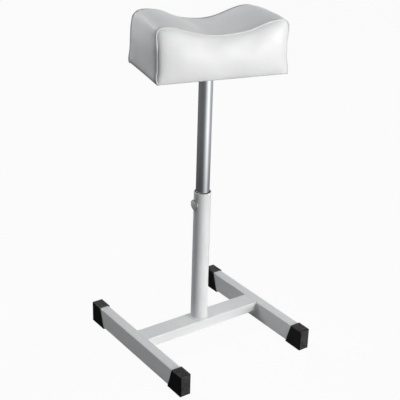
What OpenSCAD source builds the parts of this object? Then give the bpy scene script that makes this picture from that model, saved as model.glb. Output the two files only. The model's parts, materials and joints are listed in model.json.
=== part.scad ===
// Pedicure footrest: an H base of rectangular tube on four rubber caps, a telescopic post
// locked by a clamp screw, and a padded leg rest that slides and swivels with the inner post.
// X runs along the cross bar, Y along the foot rails, Z up from the floor under the post.

/* [Base frame] */
// Distance between the centre lines of the two foot rails
rail_spacing = 289; // [220:1:400]
// Overall length of the base, over the foot caps
base_length = 330; // [260:1:420]
// Width of a foot rail
rail_w = 20; // [16:1:30]
// Height of a foot rail
rail_h = 40; // [30:1:50]
// Wall of the rectangular tubes
tube_wall = 1.5; // [1:0.1:1.8]
// Outside corner radius of the rectangular tubes
tube_corner = 2; // [1.9:0.1:3]
// Width of the cross bar
bar_w = 40; // [38:1:60]
// Height of the cross bar
bar_h = 20; // [15:1:25]
// Leg of each weld fillet
weld_leg = 3; // [1.5:0.5:4]

/* [Foot caps] */
// Wall of a cap round the rail
cap_wall = 2; // [1.2:0.1:3]
// Thickness of a cap's sole under the rail
cap_sole = 3; // [2:0.5:6]
// Thickness of a cap's end wall
cap_end = 3; // [2:0.5:5]
// Length that a cap covers on top of the rail
cap_top_len = 30.5; // [20:0.5:40]
// Length that a cap covers under the rail
cap_sole_len = 44.5; // [41:0.5:60]
// Radius of a cap's outer end edges
cap_round = 4; // [2:0.5:6]

/* [Telescopic post] */
// Outside diameter of the outer post
outer_d = 33.7; // [32:0.1:36]
// Wall of the outer post
outer_wall = 2; // [1.5:0.1:2.2]
// Length of the outer post
outer_len = 278; // [240:1:300]
// Outside diameter of the chromed inner post
inner_d = 26.9; // [25:0.1:27.4]
// Wall of the inner post
inner_wall = 1.5; // [1.2:0.1:2.5]
// Length of the inner post that stays inside the outer post at this height
post_overlap = 58.4; // [50:0.2:200]
// Height of the leg rest's underside above the floor
seat_height = 565; // [460:1:700]
// Length of the bush in the outer post's mouth
bush_len = 16; // [8:1:18]
// Length of the guide ring at the foot of the inner post
ring_len = 12; // [6:1:16]
// Radius of the rolled bead that holds the guide ring down
bead_r = 0.8; // [0.5:0.1:0.9]
// Thickness of the end plug's flange
plug_flange = 3; // [2:0.5:5]
// Length of the end plug's stem inside the inner post
plug_stem = 15; // [8:1:30]
// Radial clearance of the sliding and turning fits
running_gap = 0.08; // [0.03:0.01:0.1]

/* [Clamp screw] */
// Depth of the clamp screw's axis below the mouth of the outer post
clamp_drop = 25; // [22:1:28]
// Diameter of the clamp stud and of its pad
stud_d = 8; // [6:1:9]
// Diameter of the threaded boss on the outer post
boss_d = 13.5; // [12:0.5:15]
// Length that the boss stands out of the outer post
boss_len = 2.5; // [2:0.5:6]
// Length of the pad between the stud and the inner post
pad_len = 2.9; // [2.5:0.1:4]
// Diameter of the knob
knob_d = 22; // [20:1:40]
// Length of the knob
knob_len = 4.6; // [4.2:0.1:16]
// Depth of the knob's recess over the boss
knob_recess = 2; // [1.5:0.5:2.5]
// Width across the flats of the stud's moulded-in head
head_flats = 11; // [9.5:0.5:12]
// Height of the stud's moulded-in head
head_len = 1.6; // [1.2:0.1:2.4]

/* [Leg rest] */
// Length of the leg rest along its saddle
rest_w = 250; // [220:1:320]
// Depth of the leg rest, from its front panel to its rear panel
rest_d = 152; // [148:1:200]
// Height of the two shoulders at the seam
shoulder_h = 99; // [90:1:110]
// Height of the hollow between the shoulders at the seam
hollow_h = 78.5; // [70:0.5:86]
// Radius of the wave on the inner side of a shoulder
shoulder_r = 65; // [40:1:80]
// Radius of the shoulder's outer edge
edge_round = 12; // [10:1:24]
// How far each side leans in at the shoulder
side_lean = 2.5; // [0:0.1:6]
// How far the front and rear seams are drawn in at the shoulder
seam_draw = 4; // [0:0.5:8]
// Height of the crown between the two seams
top_crown = 5; // [2:0.5:8]
// How far the front and rear panels bulge
panel_bulge = 5; // [2:0.5:9]
// Thickness of the leatherette
cover_t = 1.2; // [1:0.1:1.5]
// Diameter of the piping along the seams
piping_d = 3.6; // [3:0.2:5]
// Width of the cover's hem under the board
hem_w = 26; // [22:1:27]
// Thickness of the plywood board
board_t = 12; // [10:1:16]
// Corner radius of the plywood board
board_corner = 6; // [5:1:12]
// Thickness of the cloth under the board
cloth_t = 0.6; // [0.4:0.1:0.9]
// How far the cloth stops short of the leg rest's edge
cloth_inset = 8; // [5:1:12]
// How far the leg rest is turned on the post, seen from above
rest_turn = -13.3; // [-45:0.1:45]
// How far the leg rest's middle lies beside the post
rest_shift = 3; // [0:0.5:8]

/* [Mounting plate] */
// Length of the steel plate on top of the inner post
plate_l = 120; // [100:1:150]
// Distance of the steel plate from the cover's front and rear hems
plate_gap = 10; // [5:1:20]
// Thickness of the steel plate
plate_t = 3; // [2:0.5:4]
// Corner radius of the steel plate
plate_corner = 8; // [4:1:14]
// Distance of each screw from the plate's edges
screw_in = 12; // [9:1:18]
// Thread diameter of the plate screws
screw_d = 4.5; // [3.5:0.5:5]
// Head diameter of the plate screws
screw_head_d = 8.5; // [8:0.5:10]
// Head height of the plate screws
screw_head_h = 2.6; // [2:0.1:3.5]
// Length of the plate screws under the head
screw_len = 12; // [9:1:12]
// Width of a staple's back
staple_w = 10; // [8:1:12]
// Thickness of the staple wire
staple_wire = 0.7; // [0.5:0.1:1]
// Length of a staple's legs
staple_leg = 6; // [5:1:9]
// Distance of the staples from the leg rest's edge
staple_in = 15; // [14:1:19]
// Spacing of the staples
staple_pitch = 32; // [20:1:50]

/* [Hidden] */
$fn = 72;

// Overrun of every cut through a face
over = 1;
// Gap between a soft piece and its neighbour
soft_gap = 0.3;
// Axial play beside the guide ring and at the clamp pad
play = 0.1;
// Flutes round the knob, and the radius of each
flute_count = 8;
flute_r = 2.2;
// Rounding of the knob's front edge
knob_edge = 1.2;
// Bevel on the lead-in edges of the turned plastic pieces
lead_in = 0.8;
// Width and depth of a screw head's cross recess
recess_w = 1;
recess_depth = 1.4;
// Depth of the pilot holes past the screws' tips
pilot_extra = 0.8;
// Distance from the seam's sharp corner to the middle of the piping, along each panel
piping_inset = 1.3;
// Sharpness of the panels' domes, and their rings as shares of the outline
dome_power = 3;
dome_shares = [0.45, 0.75, 0.93, 1];
// Steps of the cover and the foam from the front seam to the rear seam
depth_steps = 8;
// Points along each stretch of the seam line
hollow_steps = 8;
wave_steps = 4;
edge_steps = 5;
side_steps = 4;
foot_steps = 6;
// Sides of the piping's section
piping_sides = 8;

rail_x = rail_spacing/2;
rail_len = base_length - 2*cap_end;
frame_top = cap_sole + rail_h;
bar_len = rail_spacing - rail_w;
outer_r = outer_d/2;
outer_bore_r = outer_r - outer_wall;
mouth_z = frame_top + outer_len;
inner_r = inner_d/2;
inner_bore_r = inner_r - inner_wall;
plate_top = seat_height + cover_t - cloth_t;
inner_top = plate_top - plate_t;
inner_foot = mouth_z - post_overlap;
inner_len = inner_top - inner_foot;
clamp_z = mouth_z - clamp_drop;
stud_r = stud_d/2;
pad_tip = inner_r + play;
pad_back = pad_tip + pad_len;
boss_face = outer_r + boss_len;
knob_back = boss_face + soft_gap - knob_recess;
knob_face = knob_back + knob_len;
head_front = knob_back + knob_recess + head_len;

half_w = rest_w/2;
half_d = rest_d/2;
top_half = half_w - side_lean;
edge_z = shoulder_h - edge_round;
peak_x = top_half - edge_round;
board_top = cover_t + board_t;
seam_back = piping_inset + piping_d/2 + soft_gap;
foam_inset = cover_t + soft_gap;
foam_back = 2*piping_inset + sqrt(2)*(piping_d/2 + soft_gap) - foam_inset;
hem_x = half_w - hem_w;
hem_y = half_d - hem_w;
plate_w = 2*(hem_y - plate_gap);
rest_middle_z = shoulder_h/2;

// Seam line of the leg rest: a wave from the hollow to the shoulder, the shoulder's outer edge
// and the leaning side. The hollow's radius follows from the shoulder's, so the arcs meet smoothly.
arc_sum = (peak_x*peak_x + (shoulder_h - hollow_h)*(shoulder_h - hollow_h))/(2*(shoulder_h - hollow_h));
hollow_r = arc_sum - shoulder_r;
hollow_mid = [0, hollow_h + hollow_r];
shoulder_mid = [peak_x, shoulder_h - shoulder_r];
edge_mid = [peak_x, edge_z];
meet = atan2(shoulder_mid[1] - hollow_mid[1], shoulder_mid[0] - hollow_mid[0]);

function arc(mid, r, from, to, steps, first = 1) =
    [for (i = [first:steps]) let (a = from + (to - from)*i/steps) mid + r*[cos(a), sin(a)]];
function side_x(z) = half_w - side_lean*min(z, edge_z)/edge_z;
function half_seam(foot_z) = concat(
    arc(hollow_mid, hollow_r, -90, meet, hollow_steps),
    arc(shoulder_mid, shoulder_r, meet + 180, 90, wave_steps),
    arc(edge_mid, edge_round, 90, 0, edge_steps),
    [for (i = [1:side_steps]) let (z = edge_z + (foot_z - edge_z)*i/side_steps) [side_x(z), z]]);
function seam(foot_z) = let (half = half_seam(foot_z), n = len(half)) concat(
    [for (i = [n - 1:-1:0]) [-half[i][0], half[i][1]]],
    [[0, hollow_h]],
    half);

// Outward normals of the seam line, level at its two feet
function turned(v) = [-v[1], v[0]]/norm(v);
function seam_normals(path) = let (n = len(path)) [for (i = [0:n - 1])
    i == 0 ? [-1, 0] : i == n - 1 ? [1, 0] : turned(path[i + 1] - path[i - 1])];
function inset_seam(path, d) = let (normals = seam_normals(path))
    [for (i = [0:len(path) - 1]) path[i] - d*normals[i]];

// Half depth of the leg rest at a height, and how far its crown stands out of the seam line
function seam_y(z) = half_d - seam_draw*z/shoulder_h;
function crown(z, y) = let (low = 1 - min(z/shoulder_h, 1), side = y/seam_y(z))
    top_crown*(1 - low*low)*(1 - side*side);

// One closed loop of the foam at a share of its depth: the crowned seam line and a flat foot
function foot_row(path, z) = let (n = len(path) - 1)
    [for (i = [1:foot_steps - 1]) [path[n][0] + (path[0][0] - path[n][0])*i/foot_steps, z]];
function crowned(path, base, d, back, share) = let (normals = seam_normals(base))
    [for (i = [0:len(path) - 1]) let (
        z = base[i][1],
        y = share*(seam_y(z) - back),
        p = base[i] + (crown(z, y) - d)*normals[i])
        [p[0], y, p[1]]];

// Domed panel rings: each ring is the outline drawn towards the middle, pushed out by the bulge
function dome_ring(outline, share, sink) = [for (p = outline) let (
    x = share*p[0],
    z = rest_middle_z + share*(p[1] - rest_middle_z))
    [x, -seam_y(z) - panel_bulge*(1 - pow(share, dome_power)) + sink, z]];
function dome_tip(sink) = [0, -seam_y(rest_middle_z) - panel_bulge + sink, rest_middle_z];
function panel_outline(d, foot_z) = let (path = inset_seam(seam(foot_z), d))
    concat(path, foot_row(path, foot_z));

// Closed skin over a row of loops with a tip at each end
module loft(tip_a, loops, tip_b) {
    m = len(loops[0]);
    last = len(loops)*m + 1;
    points = concat([tip_a], [for (loop = loops) each loop], [tip_b]);
    faces = concat(
        [for (i = [0:m - 1]) [0, 1 + i, 1 + (i + 1)%m]],
        [for (k = [0:len(loops) - 2], i = [0:m - 1]) let (
            a = 1 + k*m + i,
            b = 1 + k*m + (i + 1)%m)
            each [[a, a + m, b], [b, a + m, b + m]]],
        [for (i = [0:m - 1]) [last, last - m + (i + 1)%m, last - m + i]]);
    polyhedron(points, faces);
}

module rounded_rect(w, h, r) {
    square([w, h - 2*r], center = true);
    square([w - 2*r, h], center = true);
    for (x = [-1, 1], y = [-1, 1])
        translate([x*(w/2 - r), y*(h/2 - r)]) circle(r);
}

module rect_tube(w, h, length) {
    linear_extrude(length, center = true)
        difference() {
            rounded_rect(w, h, tube_corner);
            rounded_rect(w - 2*tube_wall, h - 2*tube_wall, tube_corner - tube_wall);
        }
}

module ring(inside_r, outside_r, length) {
    rotate_extrude()
        translate([inside_r, 0]) square([outside_r - inside_r, length]);
}

// Stands a piece drawn along +Z on the clamp screw's axis, pointing out of the post towards -X
module on_clamp_axis() {
    translate([0, 0, clamp_z]) rotate([0, -90, 0]) children();
}

// Places a piece drawn in the leg rest's own frame
module on_post() {
    translate([0, 0, seat_height]) rotate(rest_turn) translate([rest_shift, 0, 0]) children();
}

module foot_rail(side) {
    color("white")
        translate([side*rail_x, 0, cap_sole + rail_h/2]) rotate([90, 0, 0])
            rect_tube(rail_w, rail_h, rail_len);
}

module cross_bar() {
    color("white")
        translate([0, 0, frame_top - bar_h/2]) rotate([90, 0, 90])
            rect_tube(bar_w, bar_h, bar_len);
}

module fillet(length) {
    linear_extrude(length, center = true) polygon([[0, 0], [weld_leg, 0], [0, weld_leg]]);
}

module bar_welds() {
    upright = bar_h - 2*tube_corner;
    flat = bar_w - 2*tube_corner;
    color("whitesmoke")
        for (x = [0, 1]) mirror([x, 0, 0]) {
            for (y = [0, 1]) mirror([0, y, 0])
                translate([-bar_len/2, bar_w/2, frame_top - bar_h/2]) fillet(upright);
            translate([-bar_len/2, 0, frame_top - bar_h]) rotate([90, 0, 0]) mirror([0, 1, 0]) fillet(flat);
        }
}

// Boot over the end of a rail, drawn for the front left foot: slanted rim, sole and end wall
module foot_cap(side, end) {
    cap_w = rail_w + 2*cap_wall;
    cap_h = cap_sole + rail_h + cap_wall;
    cap_y = base_length/2;
    color("#1c1c1e")
        mirror([side < 0 ? 0 : 1, 0, 0]) mirror([0, end < 0 ? 0 : 1, 0])
            translate([-rail_x, -cap_y, 0]) difference() {
                intersection() {
                    // Upright outline with its slanted rim
                    translate([-cap_w/2 - over, 0, 0]) rotate([90, 0, 90])
                        linear_extrude(cap_w + 2*over)
                            intersection() {
                                translate([cap_sole_len, cap_h/2]) rounded_rect(2*cap_sole_len, cap_h, cap_round);
                                polygon([[0, 0], [cap_sole_len, 0], [cap_top_len, cap_h], [0, cap_h]]);
                            }
                    // Section across the rail
                    translate([0, 0, cap_h/2]) rotate([-90, 0, 0])
                        linear_extrude(cap_sole_len + over) rounded_rect(cap_w, cap_h, tube_corner + cap_wall/2);
                    // Plan with its rounded outer corners
                    translate([0, cap_sole_len, -over])
                        linear_extrude(cap_h + 2*over) rounded_rect(cap_w, 2*cap_sole_len, cap_round);
                }
                translate([0, cap_end, cap_sole + rail_h/2]) rotate([-90, 0, 0])
                    linear_extrude(cap_sole_len) rounded_rect(rail_w, rail_h, tube_corner);
            }
}

module outer_post() {
    color("white")
        difference() {
            translate([0, 0, frame_top]) ring(outer_bore_r, outer_r, outer_len);
            on_clamp_axis() cylinder(h = outer_r + over, r = stud_r + running_gap);
        }
}

module post_weld() {
    color("whitesmoke")
        translate([0, 0, frame_top]) rotate_extrude()
            translate([outer_r, 0]) polygon([[0, 0], [weld_leg, 0], [0, weld_leg]]);
}

module post_bush() {
    bush_r = inner_r + running_gap;
    color("#202020")
        translate([0, 0, mouth_z - bush_len]) rotate_extrude()
            polygon([[bush_r + lead_in, 0], [outer_bore_r, 0], [outer_bore_r, bush_len],
                [bush_r, bush_len], [bush_r, lead_in]]);
}

module clamp_boss() {
    color("whitesmoke")
        difference() {
            on_clamp_axis() cylinder(h = boss_face, d = boss_d);
            on_clamp_axis() cylinder(h = boss_face + over, r = stud_r + running_gap);
            translate([0, 0, clamp_z - boss_d]) cylinder(h = 2*boss_d, r = outer_r);
        }
}

module guide_ring() {
    ring_r = outer_bore_r - running_gap;
    color("ivory")
        translate([0, 0, inner_foot + play]) rotate_extrude()
            polygon([[inner_r + running_gap, 0], [ring_r - lead_in/2, 0], [ring_r, lead_in/2],
                [ring_r, ring_len - lead_in/2], [ring_r - lead_in/2, ring_len], [inner_r + running_gap, ring_len]]);
}

module inner_post() {
    bead_z = play + ring_len + soft_gap + bead_r;
    color("silver")
        translate([0, 0, inner_foot]) rotate_extrude() {
            translate([inner_bore_r, 0]) square([inner_wall, inner_len]);
            // Rolled bead above the guide ring
            intersection() {
                translate([inner_r, bead_z]) circle(bead_r);
                translate([inner_bore_r, 0]) square([inner_r, inner_len]);
            }
        }
}

module post_plug() {
    flange_r = inner_r + bead_r;
    color("#202020")
        translate([0, 0, inner_foot]) {
            translate([0, 0, -plug_flange]) cylinder(h = plug_flange, r = flange_r);
            cylinder(h = plug_stem, r = inner_bore_r);
        }
}

module clamp_pad() {
    color("goldenrod")
        difference() {
            on_clamp_axis() cylinder(h = pad_back, r = stud_r);
            translate([0, 0, clamp_z - stud_d]) cylinder(h = 2*stud_d, r = pad_tip);
        }
}

module stud_head(length) {
    cylinder(h = length, d = head_flats/cos(30), $fn = 6);
}

module clamp_stud() {
    stud_back = pad_back + play;
    color("silver")
        on_clamp_axis() {
            translate([0, 0, stud_back]) cylinder(h = head_front - stud_back, r = stud_r);
            translate([0, 0, head_front - head_len]) stud_head(head_len);
        }
}

module clamp_knob() {
    knob_r = knob_d/2;
    color("lightgray")
        on_clamp_axis() difference() {
            translate([0, 0, knob_back]) rotate_extrude() {
                square([knob_r, knob_len - knob_edge]);
                square([knob_r - knob_edge, knob_len]);
                translate([knob_r - knob_edge, knob_len - knob_edge]) circle(knob_edge);
            }
            translate([0, 0, knob_back - over]) cylinder(h = knob_recess + over, d = boss_d + 2*soft_gap);
            translate([0, 0, head_front - head_len]) stud_head(head_len);
            for (i = [0:flute_count - 1]) rotate(360*i/flute_count)
                translate([knob_r + flute_r/2, 0, knob_back - over])
                    cylinder(h = knob_len + 2*over, r = flute_r);
        }
}

module screw_places() {
    for (x = [-1, 1], y = [-1, 1])
        translate([x*(plate_l/2 - screw_in), y*(plate_w/2 - screw_in), 0]) children();
}

// The plate, its screws and its weld stay square to the leg rest and centred on the post
module on_plate() {
    translate([0, 0, plate_top]) rotate(rest_turn) children();
}

module mounting_plate() {
    color("dimgray")
        on_plate() translate([0, 0, -plate_t]) difference() {
            linear_extrude(plate_t) rounded_rect(plate_l, plate_w, plate_corner);
            screw_places() translate([0, 0, -over])
                cylinder(h = plate_t + 2*over, r = screw_d/2 + soft_gap);
        }
}

module plate_weld() {
    color("dimgray")
        translate([0, 0, inner_top]) rotate_extrude()
            translate([inner_r, 0]) polygon([[0, 0], [weld_leg, 0], [0, -weld_leg]]);
}

module plate_screw() {
    rotate_extrude()
        intersection() {
            translate([0, screw_head_d/2 - screw_head_h]) circle(screw_head_d/2);
            translate([0, -screw_head_h]) square([screw_head_d/2, screw_head_h]);
        }
    cylinder(h = screw_len, r = screw_d/2);
}

module plate_screws() {
    color("silver")
        on_plate() translate([0, 0, -plate_t]) screw_places() difference() {
            plate_screw();
            for (turn = [0, 90]) rotate(turn)
                translate([-recess_depth, -recess_w/2, -screw_head_h - over])
                    cube([2*recess_depth, recess_w, recess_depth + over]);
        }
}

// Holes for the plate screws, drawn in the leg rest's own frame
module pilot_holes() {
    screw_tip = plate_top - seat_height - plate_t + screw_len;
    translate([-rest_shift, 0, -over]) screw_places()
        cylinder(h = screw_tip + pilot_extra + over, r = screw_d/2);
}

module base_board() {
    board_w = 2*(side_x(board_top) - foam_inset);
    board_d = 2*(seam_y(board_top) - foam_inset);
    color("burlywood")
        on_post() difference() {
            translate([0, 0, cover_t]) linear_extrude(board_t) rounded_rect(board_w, board_d, board_corner);
            pilot_holes();
        }
}

module bottom_cloth() {
    outer_w = rest_w - 2*cloth_inset;
    outer_h = rest_d - 2*cloth_inset;
    window_w = 2*(hem_x - soft_gap);
    window_h = 2*(hem_y - soft_gap);
    color("#303030")
        on_post() difference() {
            union() {
                translate([-outer_w/2, -outer_h/2, -cloth_t]) cube([outer_w, outer_h, cloth_t]);
                translate([-window_w/2, -window_h/2, -cloth_t]) cube([window_w, window_h, cloth_t + cover_t]);
            }
            translate([cloth_t - window_w/2, cloth_t - window_h/2, -cloth_t - over])
                cube([window_w - 2*cloth_t, window_h - 2*cloth_t, cover_t + over]);
            pilot_holes();
        }
}

module foam_core() {
    base = seam(board_top);
    outline = panel_outline(foam_back, board_top);
    front = [for (share = dome_shares) dome_ring(outline, share, foam_inset)];
    body = [for (j = [0:depth_steps]) let (
        share = 2*j/depth_steps - 1,
        row = crowned(base, base, foam_inset, foam_back, share),
        n = len(row) - 1)
        concat(row, [for (i = [1:foot_steps - 1])
            row[n] + (row[0] - row[n])*i/foot_steps])];
    rear = [for (k = [len(front) - 1:-1:0]) [for (p = front[k]) [p[0], -p[1], p[2]]]];
    tip = dome_tip(foam_inset);
    color("khaki")
        on_post() loft(tip, concat(front, body, rear), [tip[0], -tip[1], tip[2]]);
}

// The strip runs from hem to hem: up the left side, over the saddle and down the right side
module cover_strip() {
    base = seam(0);
    m = len(base) + 2;
    loops = [for (j = [0:depth_steps]) let (
        share = 2*j/depth_steps - 1,
        outer = crowned(base, base, 0, seam_back, share),
        inner = crowned(base, base, cover_t, seam_back, share),
        y = outer[0][1],
        n = len(inner) - 1,
        low = [for (i = [0:n]) i == 0 || i == n ? [inner[i][0], y, cover_t] : inner[i]])
        concat([[-hem_x, y, 0]], outer, [[hem_x, y, 0], [hem_x, y, cover_t]],
            [for (i = [n:-1:0]) low[i]], [[-hem_x, y, cover_t]])];
    count = 2*m;
    faces = concat(
        [for (i = [0:m - 2]) each [[i, i + 1, count - 1 - i], [i + 1, count - 2 - i, count - 1 - i]]],
        [for (k = [0:depth_steps - 1], i = [0:count - 1]) let (
            a = k*count + i,
            b = k*count + (i + 1)%count)
            each [[a, a + count, b], [b, a + count, b + count]]],
        [for (i = [0:m - 2]) let (s = depth_steps*count)
            each [[s + i, s + count - 1 - i, s + i + 1], [s + i + 1, s + count - 1 - i, s + count - 2 - i]]]);
    color("white")
        on_post() polyhedron([for (loop = loops) each loop], faces);
}

// Front panel of the cover, mirrored for the rear: a domed shell with a hem under the board
module cover_panel() {
    outline = panel_outline(seam_back, 0);
    last = len(dome_shares) - 1;
    outer = [for (k = [0:last]) dome_ring(outline, dome_shares[k], 0)];
    inner = [for (k = [last:-1:0]) dome_ring(outline, dome_shares[k], cover_t)];
    hem_half = hem_x - soft_gap;
    loft(dome_tip(0), concat(outer, inner), dome_tip(cover_t));
    translate([-hem_half, -half_d + cover_t/2, 0])
        cube([2*hem_half, hem_w - cover_t/2, cover_t]);
}

module cover_front() {
    color("white") on_post() cover_panel();
}

module cover_rear() {
    color("white") on_post() mirror([0, 1, 0]) cover_panel();
}

// Piping swept along the seam, its middle a little inside the sharp corner of the two panels
module piping() {
    base = seam(0);
    normals = seam_normals(base);
    r = piping_d/2;
    loops = [for (i = [0:len(base) - 1]) let (
        p = base[i] - piping_inset*normals[i],
        y = piping_inset - seam_y(base[i][1]))
        [for (k = [0:piping_sides - 1]) let (a = 360*(k + 1/2)/piping_sides, out = r*cos(a))
            [p[0] + out*normals[i][0], y - r*sin(a), p[1] + out*normals[i][1]]]];
    n = len(base) - 1;
    foot_x = half_w - piping_inset;
    foot_y = piping_inset - half_d;
    loft([-foot_x, foot_y, 0], loops, [foot_x, foot_y, 0]);
}

module piping_front() {
    color("white") on_post() piping();
}

module piping_rear() {
    color("white") on_post() mirror([0, 1, 0]) piping();
}

// One staple across the origin, its back under the cloth and its legs up into the board
module staple() {
    translate([-staple_w/2, -staple_wire/2, -cloth_t - staple_wire])
        cube([staple_w, staple_wire, staple_wire]);
    for (x = [-staple_w/2, staple_w/2 - staple_wire])
        translate([x, -staple_wire/2, -cloth_t - staple_wire])
            cube([staple_wire, staple_wire, staple_wire + cloth_t + cover_t + staple_leg]);
}

module staple_row(length) {
    gaps = floor((length - staple_w)/staple_pitch);
    for (i = [0:gaps])
        translate([(i - gaps/2)*staple_pitch, 0, 0]) staple();
}

module staples() {
    color("silver")
        on_post() for (turn = [0, 180]) rotate(turn) {
            translate([0, staple_in - half_d, 0]) staple_row(2*hem_x - staple_w);
            translate([half_w - staple_in, 0, 0]) rotate(90) staple_row(2*hem_y);
        }
}

foot_rail(-1);  // left_rail
foot_rail(1);  // right_rail
cross_bar();
bar_welds();
foot_cap(-1, -1);  // foot_cap_front_left
foot_cap(-1, 1);  // foot_cap_rear_left
foot_cap(1, -1);  // foot_cap_front_right
foot_cap(1, 1);  // foot_cap_rear_right
outer_post();
post_weld();
post_bush();
clamp_boss();
guide_ring();
inner_post();
post_plug();
clamp_pad();
clamp_stud();
clamp_knob();
mounting_plate();
plate_weld();
plate_screws();
base_board();
foam_core();
cover_strip();
cover_front();
cover_rear();
piping_front();
piping_rear();
bottom_cloth();
staples();
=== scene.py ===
"""Looks for a pedicure footrest: a padded leg rest on a telescopic chromed post, over an H base of tube.

All sizes are in metres. Pieces of the leg rest are drawn in its own frame, with X along the saddle, Y to the
rear and Z up from the underside of its board, and are then set on the post.
"""

import json
import math

import bmesh
import bpy
from mathutils import Matrix, Vector, noise


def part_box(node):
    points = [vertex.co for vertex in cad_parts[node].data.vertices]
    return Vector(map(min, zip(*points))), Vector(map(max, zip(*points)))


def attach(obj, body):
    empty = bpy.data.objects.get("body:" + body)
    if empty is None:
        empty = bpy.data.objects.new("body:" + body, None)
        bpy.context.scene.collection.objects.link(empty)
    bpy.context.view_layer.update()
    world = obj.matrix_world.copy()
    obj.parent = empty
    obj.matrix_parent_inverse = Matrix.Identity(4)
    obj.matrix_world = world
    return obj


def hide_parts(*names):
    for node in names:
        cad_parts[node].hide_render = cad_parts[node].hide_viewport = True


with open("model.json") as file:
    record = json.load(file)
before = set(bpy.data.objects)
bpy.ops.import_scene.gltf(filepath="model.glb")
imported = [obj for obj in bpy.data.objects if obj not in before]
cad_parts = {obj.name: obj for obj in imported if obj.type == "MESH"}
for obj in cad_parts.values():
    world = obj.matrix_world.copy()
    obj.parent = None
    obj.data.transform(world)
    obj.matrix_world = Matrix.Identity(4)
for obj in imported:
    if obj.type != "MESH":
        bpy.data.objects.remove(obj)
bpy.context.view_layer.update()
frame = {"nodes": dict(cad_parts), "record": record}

# Camera
CAMERA_AIM = Vector((0, 0, 0.3))
CAMERA_DISTANCE = 1.8292
CAMERA_AZIMUTH = math.radians(-36.084)
CAMERA_ELEVATION = math.radians(23.984)
CAMERA_ROLL = math.radians(1.7685)
CAMERA_LENS_MM = 85.0
CAMERA_SENSOR_MM = 36.0
CAMERA_SHIFT = (-0.0057, 0.0026)

# Leg rest, with the outline and the turn that its solids have in the frame
REST_W = 0.250
REST_D = 0.152
SHOULDER_H = 0.099
HOLLOW_H = 0.0785
SHOULDER_R = 0.065
EDGE_R = 0.012
SIDE_LEAN = 0.0025
SEAM_DRAW = 0.004
TOP_CROWN = 0.005
COVER_T = 0.0012
REST_TURN = math.radians(-13.3)
REST_SHIFT = 0.003
# How much lower the hand-sewn rear seam runs in the middle, and how much more so at the right shoulder
REAR_DROP = 0.0026
REAR_DROP_TILT = 0.0026
# Rear left shoulder: how far its corner is squeezed in, and the reach of that
REAR_SQUEEZE = 0.0045
REAR_SQUEEZE_REACH = 0.018
# How the foam fills the saddle beyond the pattern's arcs: place across, reach, rise at the front seam and
# rise at the rear seam
SADDLE_FILLS = (
    (-0.067, 0.024, 0.0010, 0.0078),
    (0.018, 0.034, 0.0020, -0.0026),
    (0.074, 0.024, 0.0036, 0.0034),
)
# Left front seam: how far it stands out at its foot and at its top, and the reach of that
LEFT_OUT = 0.0016
LEFT_OUT_TOP = 0.0044
LEFT_OUT_REACH = 0.014
LEFT_OUT_FOOT = 0.010
# Right front seam: how far it is drawn in above the board's edge, at what height, and the reach of that
SIDE_PINCH = 0.0018
SIDE_PINCH_Z = 0.044
SIDE_PINCH_REACH = 0.026
SIDE_PINCH_DEPTH = 0.030
# How far the board's corners press the cover out, at what height, and the reach of that
CORNER_OUT = 0.0018
CORNER_OUT_Z = 0.010
CORNER_OUT_REACH = 0.010

# Cover mesh: distances of its first rows from a seam, and the spacing of the others
SEAM_ROWS = (0.0, 0.0022, 0.0055, 0.0100)
FOOT_ROWS = (0.0, 0.0004, 0.0010, 0.0020, 0.0050, 0.0100)
COVER_STEP = 0.0055
ARC_STEPS = 24
# How far the foam lifts the panels and the strip off their seams, and how soon it does so beside each seam
PANEL_PUFF = 0.0096
PANEL_RISE = 0.0135
PANEL_ROLL_POWER = 0.75
PANEL_TOP_RISE = 0.0034
PANEL_TOP_SHARE = 0.17
PANEL_BELLY_STEEPNESS = 1.6
PANEL_FOOT_RISE = 0.0090
STRIP_PUFF = 0.0038
STRIP_TOP_PUFF = 0.0008
STRIP_RISE = 0.0110
# Swelling of the foam on the left shoulder's slope: height, place across, reach, distance behind the seam
SWELL = 0.0042
SWELL_X = -0.064
SWELL_REACH = 0.025
SWELL_BACK = 0.026
# Radius of the cover's roll round the lower edge of the board, and how far up the strip painted shade
# darkens its fold
FOOT_ROLL = 0.0018
FOOT_SHADE_REACH = 0.0088
# Share of the crown that the strip is drawn with
DRAWN_SHARE = 0.7
# Simulated stuffing: its frames, its steps in each, its pressure, and the most that it may move a point
STUFFING_FRAMES = 20
STUFFING_QUALITY = 6
STUFFING_PRESSURE = 4.0
STUFFING_CAP = 0.0032
# How the cover resists stretching, shearing and bending while it is stuffed
STRETCH_STIFFNESS = 30
SHEAR_STIFFNESS = 12
BENDING_STIFFNESS = 2
# Valley beside the seams, and the puckers that the stitches pull into the cover
VALLEY_DEPTH = 0.0030
VALLEY_REACH = 0.0038
VALLEY_TOP_SHARE = 0.14
# Where the front valley is deeper along the saddle: place across, reach, share more
VALLEY_SPOTS = ((-0.125, 0.016, 0.95), (0.068, 0.028, 0.30))
PUCKER_DEPTH = 0.0007
PUCKER_PITCH = 0.0085
PUCKER_REACH = 0.014
# How often the puckers change over the depth: away from a seam, and to the rear
PUCKER_CHANGES = (4, 7)
DENT_DEPTH = 0.0009
DENT_SIZE = 0.045
# Piping
PIPING_R = 0.0014
PIPING_TOP_INSET = 0.0002
FRONT_SIDE_INSETS = (0.0022, 0.0016)
REAR_SIDE_INSETS = (0.0001, 0.0001)
PIPING_STEP = 0.0022
PIPING_SIDES = 12
PIPING_TUCK_STEPS = 6
PIPING_TUCK_TURN = math.pi * 0.7
PIPING_STITCH = 0.0033
PIPING_STITCH_SHARE = 0.035
# Hem and cloth under the board
HEM_W = 0.026
CLOTH_INSET = 0.008
CLOTH_T = 0.0005
CLOTH_GAP = 0.00005
CLOTH_RIM_W = 0.009
CLOTH_STEP_W = 0.005
CLOTH_STEP = 0.003
CLOTH_SLACK_SHARE = 0.5
CLOTH_SLACK_SIZE = 0.018

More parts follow.
